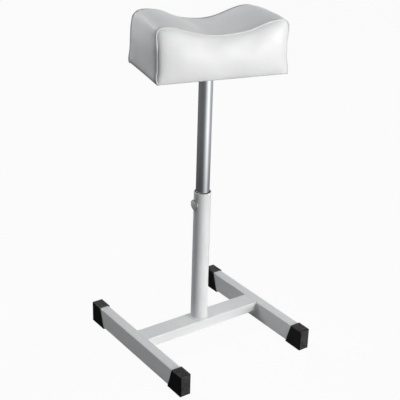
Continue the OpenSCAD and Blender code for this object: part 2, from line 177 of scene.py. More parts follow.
# Bush in the post's mouth: running gap, depth of its lead-in, and the thickness and inset of its collar
BUSH_GAP = 0.00008
BUSH_LEAD = 0.0014
COLLAR_T = 0.0004
COLLAR_IN = 0.0016
# Turned pieces
TURNED_SIDES = 72
ROUND_STEPS = 4
TURNED_SHARP_ANGLE = math.radians(40)
# Points that lie closer than this are one: in the cover, a turned piece and a foot cap
COVER_MERGE = 0.00002
TURNED_MERGE = 0.000001
CAP_MERGE = 0.00001
# Rounded edges of the foot caps
CAP_EDGE_W = 0.0009
CAP_EDGE_STEPS = 3
CAP_SHARP_ANGLE = math.radians(35)

# Clamp knob
KNOB_DOME = 0.0027
KNOB_DOME_POWER = 2.0
KNOB_EDGE = 0.0004
KNOB_CAP_SHARE = 0.84
KNOB_CAP_T = 0.0003
KNOB_CAP_PROUD = 0.00012
KNOB_HUB_WALL = 0.0014
KNOB_HUB = 0.0008
KNOB_FLARE = 0.0006
KNOB_GAP = 0.0003
KNOB_RINGS = 9
KNOB_FLUTES = 8
KNOB_FLUTE_DEPTH = 0.0009
KNOB_FLUTE_REACH = 0.0016

# Weld beads
BEAD_PITCH = 0.0021
BEAD_STEP = 0.0003
BEAD_RIPPLE_SHARE = 0.10
BEAD_SIDES = 7
BEAD_SHARE = 0.86
# How much a bead wavers and over what length, how thin its ends are, and how deep it goes
BEAD_WAVER_SHARE = 0.05
BEAD_WAVER_SIZE = 0.004
BEAD_END_SHARE = 0.35
BEAD_ROOT_SHARE = 0.12
TUBE_CORNER = 0.002
# Weld ground flush on top of each end of the cross bar
GROUND_W = 0.0034
GROUND_H = 0.00022
GROUND_STEPS = 10
GROUND_END_SHARE = 0.08
GROUND_END_POWER = 0.3
GROUND_WAVER_SHARE = 0.12
GROUND_WAVER_STEP = 0.7
GROUND_WAVER_APART = 5.0

# Dust on the paint, dust and painted top light on the rubber, and the lamps' colours
PAINT_DUST = (0.62, 0.60, 0.57)
RUBBER_DUST_AND_TOP_LIGHT = (0.22, 0.21, 0.20)
WARM_WHITE = (1.0, 1.0, 0.995)
COOL_WHITE = (0.965, 0.985, 1.0)


def node(tree, kind, inputs=None, **settings):
    """A shader node with its settings; each input is given as a value or as the socket that feeds it."""
    made = tree.nodes.new(kind)
    for name, value in settings.items():
        setattr(made, name, value)
    for name, value in (inputs or {}).items():
        if isinstance(value, bpy.types.NodeSocket):
            tree.links.new(value, made.inputs[name])
        else:
            made.inputs[name].default_value = value
    return made


def ranged(tree, value, start, end, low=0.0, high=1.0):
    """The value's stretch from start to end, mapped to low and high."""
    return node(tree, "ShaderNodeMapRange", {
        "Value": value, "From Min": start, "From Max": end, "To Min": low, "To Max": high,
    }).outputs["Result"]


def maths(tree, operation, first, second):
    """One operation on two values."""
    return node(tree, "ShaderNodeMath", {0: first, 1: second}, operation=operation).outputs[0]


def tinted(tree, factor, first, second):
    """A colour between two, by the factor."""
    mix = node(tree, "ShaderNodeMix", {"Factor": factor}, data_type="RGBA")
    for socket, colour in ((mix.inputs[6], first), (mix.inputs[7], second)):
        if isinstance(colour, bpy.types.NodeSocket):
            tree.links.new(colour, socket)
        else:
            socket.default_value = (*colour, 1.0)
    return mix.outputs[2]


def effect(name, inputs, outputs):
    """An empty node group with number inputs and outputs, and its two end nodes."""
    tree = bpy.data.node_groups.new(name, "ShaderNodeTree")
    for label, value in inputs.items():
        tree.interface.new_socket(label, in_out="INPUT", socket_type="NodeSocketFloat").default_value = value
    for label in outputs:
        tree.interface.new_socket(label, in_out="OUTPUT", socket_type="NodeSocketFloat")
    return tree, node(tree, "NodeGroupInput"), node(tree, "NodeGroupOutput")


def on_piece(tree):
    """A point's place in its piece's own coordinates."""
    return node(tree, "ShaderNodeTexCoord").outputs["Object"]


def facing(tree, axis):
    """How far the surface faces along an axis, from -1 to 1."""
    normal = node(tree, "ShaderNodeNewGeometry").outputs["Normal"]
    return node(tree, "ShaderNodeSeparateXYZ", {"Vector": normal}).outputs[axis]


def speckle(tree, given, detail, **more):
    """Noise at an effect's own scale."""
    return node(tree, "ShaderNodeTexNoise", {
        "Vector": on_piece(tree), "Scale": given.outputs["Scale"], "Detail": detail, **more,
    }).outputs[0]


def make_grain():
    """Fine, even relief of a painted, moulded or rolled surface."""
    tree, given, result = effect("fine_grain", {"Scale": 1000.0, "Softness": 0.5}, ["Height"])
    specks = speckle(tree, given, 2.0, Roughness=given.outputs["Softness"])
    tree.links.new(specks, result.inputs["Height"])
    return tree


def make_patches():
    """Broad cloudy patches between a low and a high value, as handling and cleaning leave them."""
    tree, given, result = effect("cloudy_patches", {"Scale": 30.0, "Low": 0.0, "High": 1.0}, ["Value"])
    low, high = given.outputs["Low"], given.outputs["High"]
    value = ranged(tree, speckle(tree, given, 4.0), 0.32, 0.68, low, high)
    tree.links.new(value, result.inputs["Value"])
    return tree


def make_wear():
    """Rubbed edges: strongest where the surface turns outward, and broken up by a patchy noise."""
    tree, given, result = effect("rubbed_edges", {"Scale": 300.0, "Amount": 1.0}, ["Mask"])
    turn = node(tree, "ShaderNodeNewGeometry").outputs["Pointiness"]
    edge = ranged(tree, turn, 0.53, 0.62)
    patchy = ranged(tree, speckle(tree, given, 5.0), 0.45, 0.62)
    mask = maths(tree, "MULTIPLY", maths(tree, "MULTIPLY", edge, patchy), given.outputs["Amount"])
    tree.links.new(mask, result.inputs["Mask"])
    return tree


def make_dust():
    """A trace of dust on whatever faces up."""
    tree, given, result = effect("settled_dust", {"Scale": 120.0, "Amount": 0.3}, ["Mask"])
    lying = ranged(tree, facing(tree, "Z"), 0.6, 1.0)
    patchy = ranged(tree, speckle(tree, given, 6.0), 0.4, 0.75)
    mask = maths(tree, "MULTIPLY", maths(tree, "MULTIPLY", lying, patchy), given.outputs["Amount"])
    tree.links.new(mask, result.inputs["Mask"])
    return tree


def make_lines():
    """Drawing and polishing lines that run along Z, as a height from 0 to 1."""
    tree, given, result = effect("drawn_lines", {"Across": 900.0, "Along": 12.0}, ["Height"])
    place = on_piece(tree)
    across, along = given.outputs["Across"], given.outputs["Along"]
    scale = node(tree, "ShaderNodeCombineXYZ", {"X": across, "Y": across, "Z": along}).outputs[0]
    stretched = node(tree, "ShaderNodeVectorMath", {0: place, 1: scale}, operation="MULTIPLY").outputs[0]
    lines = node(tree, "ShaderNodeTexNoise", {"Vector": stretched, "Scale": 1.0, "Detail": 2.0})
    tree.links.new(lines.outputs[0], result.inputs["Height"])
    return tree


GRAIN, PATCHES, WEAR, DUST, LINES = make_grain(), make_patches(), make_wear(), make_dust(), make_lines()


def placed(tree, group, **values):
    """One of the shared effects in a material's tree, with that material's values."""
    made = tree.nodes.new("ShaderNodeGroup")
    made.node_tree = group
    for name, value in values.items():
        made.inputs[name.capitalize()].default_value = value
    return made.outputs[0]


def finish(name, **sockets):
    """A material with an empty Principled shader; plain values are set on its own sockets."""
    material = bpy.data.materials.new(name)
    material.use_nodes = True
    tree = material.node_tree
    shader = tree.nodes["Principled BSDF"]
    for label, value in sockets.items():
        shader.inputs[label.replace("_", " ")].default_value = value
    return material, tree, shader


def feed(tree, shader, **sources):
    """Links sources to the shader's sockets."""
    for label, source in sources.items():
        tree.links.new(source, shader.inputs[label.replace("_", " ")])


def bump(tree, height, depth, under=None):
    """A bump of that depth in metres, over another one if there is one under it."""
    inputs = {"Height": height, "Distance": depth, "Strength": 1.0}
    if under is not None:
        inputs["Normal"] = under
    return node(tree, "ShaderNodeBump", inputs).outputs["Normal"]


def paint(name, colour):
    """Satin powder coat: orange peel, cloudy gloss and a trace of dust on top."""
    material, tree, shader = finish(name, Specular_IOR_Level=0.5)
    cloud = placed(tree, PATCHES, scale=14.0)
    shade = tinted(tree, cloud, [c * 0.975 for c in colour], [c * 1.012 for c in colour])
    dusty = placed(tree, DUST, scale=150.0, amount=0.10)
    shade = tinted(tree, dusty, shade, PAINT_DUST)
    gloss = placed(tree, PATCHES, scale=55.0, low=0.34, high=0.44)
    peel = placed(tree, GRAIN, scale=620.0, softness=0.35)
    specks = placed(tree, GRAIN, scale=4200.0, softness=0.6)
    normal = bump(tree, specks, depth=0.0000008, under=bump(tree, peel, depth=0.000004))
    feed(tree, shader, Base_Color=shade, Roughness=gloss, Normal=normal)
    return material


def frame_paint():
    """Off-white paint of the base and the outer post."""
    return paint("frame_paint", (0.757, 0.762, 0.766))


def plate_paint():
    """Black paint of the steel plate under the leg rest."""
    return paint("plate_paint", (0.045, 0.045, 0.05))


def chrome():
    """Chromed tube: a bright mirror with faint polishing lines and finger marks."""
    material, tree, shader = finish("chrome", Metallic=1.0)
    cloud = placed(tree, PATCHES, scale=22.0)
    gloss = placed(tree, PATCHES, scale=48.0, low=0.055, high=0.12)
    lines = placed(tree, LINES, across=1500.0, along=5.0)
    shade = tinted(tree, cloud, (0.74, 0.74, 0.76), (0.80, 0.80, 0.82))
    feed(tree, shader, Base_Color=shade, Roughness=gloss, Normal=bump(tree, lines, depth=0.0000025))
    return material


def cap_rubber():
    """Black moulded rubber: dull, finely pebbled, with dust and painted light on top, and painted light with
    shoe scuffs on its two ends.
    """
    material, tree, shader = finish("cap_rubber", Specular_IOR_Level=0.15)
    cloud = placed(tree, PATCHES, scale=60.0)
    shade = tinted(tree, cloud, (0.003, 0.003, 0.0035), (0.007, 0.007, 0.0075))
    # Painted light on the two ends, which face along Y, also standing for scuffs by shoes
    along = maths(tree, "ABSOLUTE", facing(tree, "Y"), 0.0)
    end_light_and_scuffs = maths(tree, "MULTIPLY", ranged(tree, along, 0.80, 0.98),
                    placed(tree, PATCHES, scale=150.0, low=0.45, high=1.0))
    shade = tinted(tree, end_light_and_scuffs, shade, (0.050, 0.050, 0.052))
    # Dust on top, heavy enough to stand partly for painted top light
    dusty = placed(tree, DUST, scale=200.0, amount=0.22)
    shade = tinted(tree, dusty, shade, RUBBER_DUST_AND_TOP_LIGHT)
    gloss = placed(tree, PATCHES, scale=80.0, low=0.38, high=0.52)
    pebble = placed(tree, GRAIN, scale=1500.0, softness=0.5)
    feed(tree, shader, Base_Color=shade, Roughness=gloss, Normal=bump(tree, pebble, depth=0.00005))
    return material


def moulded(name, dark, light, gloss):
    """Injection-moulded plastic with a fine eroded grain."""
    material, tree, shader = finish(name, Specular_IOR_Level=0.5)
    cloud = placed(tree, PATCHES, scale=90.0)
    shade = tinted(tree, cloud, dark, light)
    rubbed = placed(tree, WEAR, scale=700.0, amount=0.3)
    shade = tinted(tree, rubbed, shade, [0.7 * c + 0.28 for c in light])
    dulled = placed(tree, PATCHES, scale=130.0, low=gloss[0], high=gloss[1])
    grain = placed(tree, GRAIN, scale=2600.0, softness=0.5)
    feed(tree, shader, Base_Color=shade, Roughness=dulled, Normal=bump(tree, grain, depth=0.000012))
    return material


def black_plastic():
    """Bush and end plug."""
    return moulded("black_plastic", (0.022, 0.022, 0.022), (0.034, 0.034, 0.035), gloss=(0.36, 0.5))


def nylon():
    """Guide ring."""
    return moulded("nylon", (0.79, 0.76, 0.66), (0.84, 0.81, 0.73), gloss=(0.35, 0.45))


def knob_plastic():
    """Dark grey body of the clamp knob."""
    return moulded("knob_plastic", (0.15, 0.155, 0.16), (0.19, 0.195, 0.20), gloss=(0.30, 0.42))


def knob_face():
    """Light grey cap on the knob's face."""
    return moulded("knob_face", (0.70, 0.71, 0.71), (0.76, 0.77, 0.77), gloss=(0.28, 0.38))


def turned_metal(name, dark, light):
    """Plated or turned small metal piece with fine lines and dull patches."""
    material, tree, shader = finish(name, Metallic=1.0)
    cloud = placed(tree, PATCHES, scale=160.0)
    gloss = placed(tree, PATCHES, scale=240.0, low=0.26, high=0.42)
    lines = placed(tree, LINES, across=2500.0, along=150.0)
    shade = tinted(tree, cloud, dark, light)
    feed(tree, shader, Base_Color=shade, Roughness=gloss, Normal=bump(tree, lines, depth=0.000006))
    return material


def zinc_steel():
    """Screws, staples and clamp stud."""
    return turned_metal("zinc_steel", (0.55, 0.55, 0.58), (0.68, 0.68, 0.69))


def brass():
    """Clamp pad."""
    return turned_metal("brass", (0.66, 0.47, 0.20), (0.76, 0.57, 0.29))


def plywood():
    """Board: long grain lines, darker pores and the layers that show at its edge."""
    material, tree, shader = finish("plywood", Roughness=0.7)
    place = on_piece(tree)
    stretched = node(tree, "ShaderNodeVectorMath", {0: place, 1: (18.0, 260.0, 700.0)}, operation="MULTIPLY")
    fibres = node(tree, "ShaderNodeTexNoise", {
        "Vector": stretched.outputs[0], "Scale": 1.0, "Detail": 5.0,
    }).outputs[0]
    shade = tinted(tree, ranged(tree, fibres, 0.35, 0.65), (0.50, 0.35, 0.20), (0.72, 0.56, 0.37))
    pores = placed(tree, GRAIN, scale=1800.0, softness=0.6)
    normal = bump(tree, pores, depth=0.00003, under=bump(tree, fibres, depth=0.00006))
    feed(tree, shader, Base_Color=shade, Normal=normal)
    return material


def foam():
    """Open-celled upholstery foam."""
    material, tree, shader = finish("foam", Roughness=0.95)
    place = on_piece(tree)
    cells = node(tree, "ShaderNodeTexVoronoi", {"Vector": place, "Scale": 900.0})
    shade = tinted(tree, cells.outputs["Distance"], (0.90, 0.84, 0.58), (0.72, 0.64, 0.38))
    feed(tree, shader, Base_Color=shade, Normal=bump(tree, cells.outputs["Distance"], depth=0.0003))
    return material


def leatherette():
    """White upholstery vinyl: embossed pebble grain, soft gloss, and painted shade at its seams, piping and
    foot.
    """
    material, tree, shader = finish(
        "leatherette", Specular_IOR_Level=0.5, Sheen_Weight=0.04, Sheen_Roughness=0.4)
    crease_grey, painted_valley_shade, painted_fold_shade = (0.60, 0.60, 0.60), (0.52, 0.52, 0.52), (0.18, 0.18, 0.18)
    place = on_piece(tree)
    pebbles = node(tree, "ShaderNodeTexVoronoi", {"Vector": place, "Scale": 780.0, "Randomness": 0.9},
                   feature="DISTANCE_TO_EDGE")
    creases = ranged(tree, pebbles.outputs["Distance"], 0.0, 0.16)
    cloud = placed(tree, PATCHES, scale=16.0)
    shade = tinted(tree, cloud, (0.835, 0.838, 0.842), (0.872, 0.873, 0.872))
    shade = tinted(tree, ranged(tree, creases, 0.0, 1.0, low=0.10, high=0.0), shade, crease_grey)
    # Painted shade: the cover darkens in the valleys beside its seams, and the piping, which has no
    # seam_gap, is darkened all over
    gap = node(tree, "ShaderNodeAttribute", attribute_name="seam_gap").outputs["Fac"]
    shade = tinted(tree, ranged(tree, gap, 0.0, 0.005, low=0.12, high=0.0), shade, painted_valley_shade)
    # Painted shade along the fold where the cover rolls under the board
    fold = node(tree, "ShaderNodeAttribute", attribute_name="painted_foot_shade").outputs["Fac"]
    shade = tinted(tree, fold, shade, painted_fold_shade)
    gloss = maths(tree, "ADD", placed(tree, PATCHES, scale=40.0, low=0.31, high=0.40),
                  ranged(tree, creases, 0.0, 1.0, low=0.12, high=0.0))
    fine = placed(tree, GRAIN, scale=3200.0, softness=0.6)
    normal = bump(tree, fine, depth=0.000008, under=bump(tree, creases, depth=0.000035))
    feed(tree, shader, Base_Color=shade, Roughness=gloss, Normal=normal)
    return material


def under_cloth():
    """Black spunbonded cloth with its pressed pattern of small dots in staggered rows."""
    material, tree, shader = finish("under_cloth", Specular_IOR_Level=0.3)
    place = on_piece(tree)
    turned = node(tree, "ShaderNodeVectorRotate", {"Vector": place, "Angle": REST_TURN + math.pi / 4},
                  rotation_type="Z_AXIS").outputs[0]
    dots = node(tree, "ShaderNodeTexVoronoi", {"Vector": turned, "Scale": 620.0, "Randomness": 0.0})
    pressed = ranged(tree, dots.outputs["Distance"], 0.22, 0.34)
    fibres = placed(tree, GRAIN, scale=2400.0, softness=0.75)
    shade = tinted(tree, fibres, (0.022, 0.022, 0.025), (0.060, 0.060, 0.066))
    shade = tinted(tree, pressed, (0.016, 0.016, 0.018), shade)
    gloss = ranged(tree, pressed, 0.0, 1.0, low=0.45, high=0.85)
    normal = bump(tree, fibres, depth=0.00008, under=bump(tree, pressed, depth=0.0001))
    feed(tree, shader, Base_Color=shade, Roughness=gloss, Normal=normal)
    return material


MATERIALS = {maker.__name__: maker() for maker in (
    frame_paint, plate_paint, chrome, cap_rubber, black_plastic, nylon, knob_plastic, knob_face, zinc_steel,
    brass, plywood, foam, leatherette, under_cloth)}


def dress_frame():
    """Gives every piece of the frame the finish of its own material slot."""
    for part in frame["record"]["subparts"]:
        piece = frame["nodes"][part["node"]]
        piece.data.materials.clear()
        piece.data.materials.append(MATERIALS[part["material_slot"]])


def round_cap(name):
    """Rounds the sharp edges of one foot cap a little, as its moulding does."""
    piece = frame["nodes"][name]
    piece.modifiers.new("joined", "WELD").merge_threshold = CAP_MERGE
    rounding = piece.modifiers.new("rounded_edges", "BEVEL")
    rounding.width = CAP_EDGE_W
    rounding.segments = CAP_EDGE_STEPS
    rounding.limit_method = "ANGLE"
    rounding.angle_limit = CAP_SHARP_ANGLE
    rounding.harden_normals = True


def arc(middle, radius, start, end):
    """Points along an arc in the X-Z plane, without its first one."""
    return [middle + radius * Vector((math.cos(a), math.sin(a)))
            for a in (start + (end - start) * i / ARC_STEPS for i in range(1, ARC_STEPS + 1))]


def half_seam():
    """Seam line from the hollow's middle to the shoulder's outer corner, and from there to the foot."""
    rise = SHOULDER_H - HOLLOW_H
    peak_x = REST_W / 2 - SIDE_LEAN - EDGE_R
    edge = Vector((peak_x, SHOULDER_H - EDGE_R))
    hollow_r = (peak_x ** 2 + rise ** 2) / (2 * rise) - SHOULDER_R
    hollow = Vector((0, HOLLOW_H + hollow_r))
    shoulder = Vector((peak_x, SHOULDER_H - SHOULDER_R))
    meet = math.atan2(shoulder.y - hollow.y, shoulder.x - hollow.x)
    top = [Vector((0, HOLLOW_H))]
    top += arc(hollow, hollow_r, -math.pi / 2, meet)
    top += arc(shoulder, SHOULDER_R, meet + math.pi, math.pi / 2)
    top += arc(edge, EDGE_R, math.pi / 2, math.pi / 4)
    side = [top[-1], *arc(edge, EDGE_R, math.pi / 4, 0), Vector((REST_W / 2, 0))]
    return top, side


def mirrored(points):
    """The points on the other side of the middle, in the other order."""
    return [Vector((-p.x, p.y)) for p in reversed(points)]


def length_of(points):
    """Length of a line of points."""
    return sum((b - a).length for a, b in zip(points, points[1:]))


def at_shares(points, shares):
    """Points at the given shares of a line's length."""
    total = length_of(points)
    found, walked, i = [], 0.0, 0
    for share in shares:
        while i < len(points) - 2 and walked + (points[i + 1] - points[i]).length < share * total:
            walked += (points[i + 1] - points[i]).length
            i += 1
        step = points[i + 1] - points[i]
        found.append(points[i] + step * ((share * total - walked) / step.length))
    return found


def spaced(length, first=SEAM_ROWS):
    """Shares of a length for the rows of the cover, close together near its two ends."""
    room = length - first[-1] - SEAM_ROWS[-1]
    count = round(room / COVER_STEP)
    inner = [first[-1] + room * i / count for i in range(1, count)]
    return [row / length for row in (*first, *inner, *(length - row for row in reversed(SEAM_ROWS)))]


def seam_y(z):
    """Half depth of the leg rest at a height: the front and rear seams are drawn in towards the top."""
    return REST_D / 2 - SEAM_DRAW * z / SHOULDER_H


def crown(z, share):
    """How far the cover's strip stands out of the seam line, by height and by share of the half depth."""
    low = 1 - min(z / SHOULDER_H, 1)
    return TOP_CROWN * (1 - low * low) * (1 - share * share)


def bell(distance, reach):
    """A smooth bump: 1 at no distance, fading out past its reach."""
    return math.exp(-(distance / reach) ** 2)


def flank(z):
    """0 along the saddle's line, 1 on the sides below it."""
    return min(1, max(0, (HOLLOW_H - z) / (HOLLOW_H / 4)))


def risen(distance, reach):
    """How much of its full height the padding has at a distance from a seam."""
    return 1 - math.exp(-distance / reach)


def hand_sewn(point):
    """Moves a point as the uneven sewing and filling of this leg rest do, and its board's corners."""
    rear = min(1, max(0, 0.5 + point.y / REST_D))
    drop = REAR_DROP + REAR_DROP_TILT * point.x / (REST_W / 2)
    moved = point - Vector((0, 0, drop * rear * point.z / SHOULDER_H))
    left = -REST_W / 2 + SIDE_LEAN
    away = Vector((point.x - left, point.z - SHOULDER_H)).length
    pull = REAR_SQUEEZE * min(1, 2 * rear) * bell(away, REAR_SQUEEZE_REACH)
    fill = sum(((1 - rear) * front_rise + rear * rear_rise) * bell(point.x - place, reach)
               for place, reach, front_rise, rear_rise in SADDLE_FILLS) * point.z / SHOULDER_H
    right_front = bell(REST_W / 2 - point.x, SIDE_PINCH_DEPTH) * bell(point.y + REST_D / 2, SIDE_PINCH_DEPTH)
    pinch = SIDE_PINCH * bell(point.z - SIDE_PINCH_Z, SIDE_PINCH_REACH)
    corner = CORNER_OUT * bell(REST_W / 2 - abs(point.x), SIDE_PINCH_DEPTH) * bell(
        REST_D / 2 - abs(point.y), SIDE_PINCH_DEPTH) * bell(point.z - CORNER_OUT_Z, CORNER_OUT_REACH)
    out = LEFT_OUT + (LEFT_OUT_TOP - LEFT_OUT) * point.z / SHOULDER_H
    out *= (1 - rear) * bell(REST_W / 2 + point.x, LEFT_OUT_REACH) * min(1, point.z / LEFT_OUT_FOOT)
    across = math.copysign(corner, point.x) - pinch * right_front - out
    return moved + pull * Vector((1, 0, -1)).normalized() + Vector((across, 0, fill))


def rolled(point):
    """Draws a point near the lower edge in, so that the cover rolls round the edge of the board."""
    low = max(0, FOOT_ROLL - point.z)
    inset = FOOT_ROLL - math.sqrt(FOOT_ROLL ** 2 - low ** 2)
    return Vector((point.x * (1 - inset / (REST_W / 2)), point.y * (1 - inset / (REST_D / 2)), point.z))


TOP_RIGHT, SIDE_RIGHT = half_seam()
TOP = mirrored(TOP_RIGHT) + TOP_RIGHT[1:]
SIDE = list(reversed(SIDE_RIGHT))
TOP_LEN, SIDE_LEN = length_of(TOP), length_of(SIDE)
SEAM = mirrored(SIDE_RIGHT) + TOP[1:-1] + SIDE_RIGHT
SEAM_LEN = length_of(SEAM)


def normals_of(line):
    """Outward normals along the seam line."""
    ends = [line[0], *line, line[-1]]
    steps = [(after - before).normalized() for before, after in zip(ends, ends[2:])]
    return [Vector((-step.y, step.x)) for step in steps]


def in_place(mesh):
    """Sets a mesh drawn in the leg rest's own frame on the post."""
    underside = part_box("base_board")[0].z - COVER_T
    mesh.transform(Matrix.Translation((0, 0, underside)) @ Matrix.Rotation(REST_TURN, 4, "Z")
                   @ Matrix.Translation((REST_SHIFT, 0, 0)))


def piece_of(name, bm, slot):
    """A new object from a bmesh, with its material slot's finish."""
    bmesh.ops.recalc_face_normals(bm, faces=bm.faces)
    mesh = bpy.data.meshes.new(name)
    bm.to_mesh(mesh)
    bm.free()
    for face in mesh.polygons:
        face.use_smooth = True
    mesh.materials.append(MATERIALS[slot])
    piece = bpy.data.objects.new(name, mesh)
    bpy.context.scene.collection.objects.link(piece)
    return piece


def quads(bm, rows):
    """Faces between rows of vertices."""
    for low, high in zip(rows, rows[1:]):
        for a, b, c, d in zip(low, low[1:], high[1:], high):
            bm.faces.new((a, b, c, d))


def cover_mesh():
    """The cover as one closed skin: two panels, the strip over the saddle, and the hem under the board.

    Each vertex keeps its gap to the nearest seam, its place along it and its share of the painted shade at
    the foot's fold."""
    bm = bmesh.new()
    gaps = bm.verts.layers.float.new("seam_gap")
    runs = bm.verts.layers.float.new("seam_run")
    foot_shades = bm.verts.layers.float.new("painted_foot_shade")
    across, up, deep = spaced(TOP_LEN), spaced(SIDE_LEN, FOOT_ROWS), spaced(REST_D)
    top, right = at_shares(TOP, across), at_shares(SIDE, up)
    left = [Vector((-p.x, p.y)) for p in right]
    foot = [Vector((REST_W * (u - 0.5), 0)) for u in across]

    def vertex(point, gap, run, grey=FOOT_ROLL):
        made = bm.verts.new(hand_sewn(rolled(Vector(point))))
        made[gaps] = gap
        made[runs] = run
        # Share of painted shade at the foot's fold, fading out up to its reach
        made[foot_shades] = max(0, 1 - point[2] / grey)
        return made

    def panel(side):
        rows = []
        for j, v in enumerate(up):
            row = []
            for i, u in enumerate(across):
                flat = ((1 - v) * foot[i] + v * top[i] + (1 - u) * left[j] + u * right[j]
                        - (1 - v) * ((1 - u) * foot[0] + u * foot[-1])
                        - v * ((1 - u) * top[0] + u * top[-1]))
                gap_up, gap_side = (1 - v) * SIDE_LEN, min(u, 1 - u) * TOP_LEN
                sides = risen(u * TOP_LEN, PANEL_RISE) * risen((1 - u) * TOP_LEN, PANEL_RISE)
                sides **= PANEL_ROLL_POWER
                below = min(1, PANEL_BELLY_STEEPNESS * (1 - v))
                belly = PANEL_TOP_SHARE + (1 - PANEL_TOP_SHARE) * math.sin(math.pi / 2 * below)
                ends = belly * risen(gap_up, PANEL_TOP_RISE) * risen(v * SIDE_LEN, PANEL_FOOT_RISE)
                out = seam_y(flat.y) + PANEL_PUFF * sides * ends
                run = u * TOP_LEN if gap_up < gap_side else v * SIDE_LEN
                row.append(vertex((flat.x, side * out, flat.y), min(gap_up, gap_side), run))
            rows.append(row)
        quads(bm, rows)

    def strip():
        line = left[:-1] + top + list(reversed(right))[1:]
        walked = [0.0]
        for a, b in zip(line, line[1:]):
            walked.append(walked[-1] + (b - a).length)
        rows = []
        for share in deep:
            row = []
            for p, normal, run in zip(line, normals_of(line), walked):
                half = seam_y(p.y)
                puff = STRIP_TOP_PUFF + (STRIP_PUFF - STRIP_TOP_PUFF) * flank(p.y)
                puff *= risen(share * REST_D, STRIP_RISE) * risen((1 - share) * REST_D, STRIP_RISE)
                puff *= min(1, p.y / PANEL_FOOT_RISE)
                back = share * REST_D / SWELL_BACK
                swell = SWELL * bell(p.x - SWELL_X, SWELL_REACH) * back * math.exp((1 - back * back) / 2)
                puff += swell * (1 - flank(p.y))
                out = p + (puff + DRAWN_SHARE * crown(p.y, 2 * share - 1)) * normal
                gap = min(share, 1 - share) * REST_D
                row.append(vertex((out.x, (2 * share - 1) * half, out.y), gap, run, FOOT_SHADE_REACH))
            rows.append(row)
        quads(bm, rows)

    def underside():
        rows = []
        for share in deep:
            y = (2 * share - 1) * REST_D / 2
            row = []
            for p in foot:
                inside = min(REST_W / 2 - abs(p.x), REST_D / 2 - abs(y)) - HEM_W
                lift = COVER_T * min(1, max(0, inside / COVER_T))
                row.append(vertex((p.x, y, lift), REST_D, 0.0))
            rows.append(row)
        quads(bm, rows)

    panel(-1)
    panel(1)
    strip()
    underside()
    bmesh.ops.remove_doubles(bm, verts=bm.verts, dist=COVER_MERGE)
    return bm


def bake_modifiers(piece):
    """Makes the modified mesh the piece's own. Only the evaluated object has its modifiers' result."""
    view = bpy.context.evaluated_depsgraph_get()
    result = piece.evaluated_get(view)
    mesh = bpy.data.meshes.new_from_object(result, preserve_all_data_layers=True, depsgraph=view)
    piece.modifiers.clear()
    piece.data = mesh


def stuff(piece):
    """Swells the cover between its seams with a cloth simulation, and caps how far any point may move."""
    before = [v.co.copy() for v in piece.data.vertices]
    held = piece.vertex_groups.new(name="held")
    gaps = piece.data.attributes["seam_gap"].data
    board_edge = COVER_T + COVER_STEP / 2
    held.add([v.index for v in piece.data.vertices
              if gaps[v.index].value < SEAM_ROWS[1] / 2 or v.co.z < board_edge], 1.0, "REPLACE")
    cloth = piece.modifiers.new("stuffing", "CLOTH")
    cloth.settings.vertex_group_mass = held.name
    cloth.settings.quality = STUFFING_QUALITY
    cloth.settings.tension_stiffness = STRETCH_STIFFNESS
    cloth.settings.compression_stiffness = STRETCH_STIFFNESS
    cloth.settings.shear_stiffness = SHEAR_STIFFNESS
    cloth.settings.bending_stiffness = BENDING_STIFFNESS
    cloth.settings.use_pressure = True
    cloth.settings.uniform_pressure_force = STUFFING_PRESSURE
    cloth.settings.effector_weights.gravity = 0
    cloth.collision_settings.use_collision = False
    for number in range(1, STUFFING_FRAMES + 1):
        bpy.context.scene.frame_set(number)
    bake_modifiers(piece)
    bpy.context.scene.frame_set(1)
    piece.vertex_groups.clear()
    moved = []
    for vertex, start in zip(piece.data.vertices, before):
        step = vertex.co - start
        moved.append(step.length)
        vertex.co = start + step * min(1, STUFFING_CAP / max(step.length, 1e-9))
    print("stuffing moved the cover %.3f mm at most, %.3f mm on average"
          % (1000 * max(moved), 1000 * sum(moved) / len(moved)))


def pull_in(piece):
    """Sinks the valleys beside the seams, the small puckers of the stitches and soft dents in the foam."""
    mesh = piece.data
    gaps = [item.value for item in mesh.attributes["seam_gap"].data]
    runs = [item.value for item in mesh.attributes["seam_run"].data]
    shifts = []
    for vertex, gap, run in zip(mesh.vertices, gaps, runs):
        valley = VALLEY_DEPTH * bell(gap, VALLEY_REACH)
        on_top = VALLEY_TOP_SHARE
        if vertex.co.y < 0:
            on_top += sum(more * bell(vertex.co.x - place, reach) for place, reach, more in VALLEY_SPOTS)
        valley *= on_top + (1 - on_top) * flank(vertex.co.z)
        wave = noise.noise(Vector((run / PUCKER_PITCH, PUCKER_CHANGES[0] * gap / REST_D,
                                   PUCKER_CHANGES[1] * vertex.co.y / REST_D)))
        fade = (gap / PUCKER_REACH) * math.exp(1 - gap / PUCKER_REACH * 2)
        soft = min(1, gap / PUCKER_REACH)
        dent = noise.noise(vertex.co / DENT_SIZE) * DENT_DEPTH * soft
        shifts.append(vertex.normal * (wave * PUCKER_DEPTH * fade + dent - valley))
    for vertex, shift in zip(mesh.vertices, shifts):
        if vertex.co.z > COVER_T:
            vertex.co += shift


def make_cushion():
    """The stuffed cover, on the board."""
    piece = piece_of("leg_rest_cover", cover_mesh(), "leatherette")
    stuff(piece)
    pull_in(piece)
    piece.modifiers.new("smoother", "SUBSURF").levels = 1
    piece.modifiers["smoother"].render_levels = 1
    in_place(piece.data)
    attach(piece, "rest_post")
    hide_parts("foam_core", "cover_strip", "cover_front", "cover_rear")


